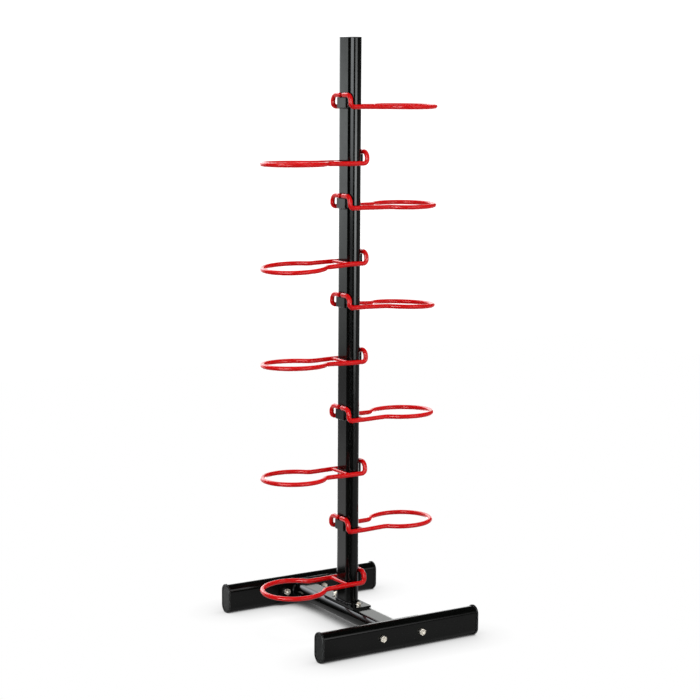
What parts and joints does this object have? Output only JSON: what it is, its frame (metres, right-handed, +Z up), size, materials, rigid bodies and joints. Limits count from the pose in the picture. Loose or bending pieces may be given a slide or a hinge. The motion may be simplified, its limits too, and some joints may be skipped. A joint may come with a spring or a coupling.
{
  "type": "medicine ball rack",
  "caption": "Free-standing medicine ball rack: a flat-oval steel post on an H-shaped bolted base, with bent-rod ring holders hooked on welded lugs at alternating levels on both sides.",
  "frame": {"origin": "on the floor, under the centre of the post", "axes": "+Z up the post; +X along the feet and outward along the right-hand holders; +Y along the crossbar towards the rear foot"},
  "size_m": [0.543, 0.5918, 1.659],
  "materials": {
    "black_powder_coat": "satin black powder coat over steel, fine even texture",
    "red_powder_coat": "semi-gloss red powder coat over bent steel rod",
    "black_plastic": "moulded black plastic, fine matt grain",
    "zinc_plate": "bright zinc plate",
    "black_washer": "black oxide"
  },
  "bodies": {
    "frame": {"crossbar": "black_powder_coat", "crossbar_end_plate_front": "black_powder_coat", "crossbar_end_plate_rear": "black_powder_coat", "crossbar_welds": "black_powder_coat", "foot_bolt_nuts": "zinc_plate", "foot_bolt_washers": "black_washer", "foot_bolts": "zinc_plate", "foot_cap_front_left": "black_plastic", "foot_cap_front_right": "black_plastic", "foot_cap_rear_left": "black_plastic", "foot_cap_rear_right": "black_plastic", "foot_front": "black_powder_coat", "foot_rear": "black_powder_coat", "lug_left_1": "black_powder_coat", "lug_left_2": "black_powder_coat", "lug_left_3": "black_powder_coat", "lug_left_4": "black_powder_coat", "lug_left_5": "black_powder_coat", "lug_right_1": "black_powder_coat", "lug_right_2": "black_powder_coat", "lug_right_3": "black_powder_coat", "lug_right_4": "black_powder_coat", "lug_right_5": "black_powder_coat", "lug_welds": "black_powder_coat", "post": "black_powder_coat", "post_base_plate": "black_powder_coat", "post_bolt_nuts": "zinc_plate", "post_bolt_washers": "zinc_plate", "post_bolts": "zinc_plate", "post_top_cap": "black_plastic", "post_weld": "black_powder_coat"},
    "holder_left_1": {"holder_left_1": "red_powder_coat", "cross_rod_left_1": "red_powder_coat"},
    "holder_left_2": {"holder_left_2": "red_powder_coat", "cross_rod_left_2": "red_powder_coat"},
    "holder_left_3": {"holder_left_3": "red_powder_coat", "cross_rod_left_3": "red_powder_coat"},
    "holder_left_4": {"holder_left_4": "red_powder_coat", "cross_rod_left_4": "red_powder_coat"},
    "holder_left_5": {"holder_left_5": "red_powder_coat", "cross_rod_left_5": "red_powder_coat"},
    "holder_right_1": {"holder_right_1": "red_powder_coat", "cross_rod_right_1": "red_powder_coat"},
    "holder_right_2": {"holder_right_2": "red_powder_coat", "cross_rod_right_2": "red_powder_coat"},
    "holder_right_3": {"holder_right_3": "red_powder_coat", "cross_rod_right_3": "red_powder_coat"},
    "holder_right_4": {"holder_right_4": "red_powder_coat", "cross_rod_right_4": "red_powder_coat"},
    "holder_right_5": {"holder_right_5": "red_powder_coat", "cross_rod_right_5": "red_powder_coat"}
  },
  "joints": [
    {"name": "tip_up_left_1", "type": "hinge", "parent": "frame", "child": "holder_left_1", "pos_m": [0.027, 0, 1.348], "axis": [0, 1, 0], "range_deg": [0, 60]},
    {"name": "tip_up_left_2", "type": "hinge", "parent": "frame", "child": "holder_left_2", "pos_m": [0.027, 0, 1.072], "axis": [0, 1, 0], "range_deg": [0, 60]},
    {"name": "tip_up_left_3", "type": "hinge", "parent": "frame", "child": "holder_left_3", "pos_m": [0.027, 0, 0.796], "axis": [0, 1, 0], "range_deg": [0, 60]},
    {"name": "tip_up_left_4", "type": "hinge", "parent": "frame", "child": "holder_left_4", "pos_m": [0.027, 0, 0.4775], "axis": [0, 1, 0], "range_deg": [0, 60]},
    {"name": "tip_up_left_5", "type": "hinge", "parent": "frame", "child": "holder_left_5", "pos_m": [0.027, 0, 0.159], "axis": [0, 1, 0], "range_deg": [0, 60]},
    {"name": "tip_up_right_1", "type": "hinge", "parent": "frame", "child": "holder_right_1", "pos_m": [-0.027, 0, 1.502], "axis": [0, -1, 0], "range_deg": [0, 60]},
    {"name": "tip_up_right_2", "type": "hinge", "parent": "frame", "child": "holder_right_2", "pos_m": [-0.027, 0, 1.226], "axis": [0, -1, 0], "range_deg": [0, 60]},
    {"name": "tip_up_right_3", "type": "hinge", "parent": "frame", "child": "holder_right_3", "pos_m": [-0.027, 0, 0.95], "axis": [0, -1, 0], "range_deg": [0, 60]},
    {"name": "tip_up_right_4", "type": "hinge", "parent": "frame", "child": "holder_right_4", "pos_m": [-0.027, 0, 0.6315], "axis": [0, -1, 0], "range_deg": [0, 60]},
    {"name": "tip_up_right_5", "type": "hinge", "parent": "frame", "child": "holder_right_5", "pos_m": [-0.027, 0, 0.313], "axis": [0, -1, 0], "range_deg": [0, 60]}
  ]
}
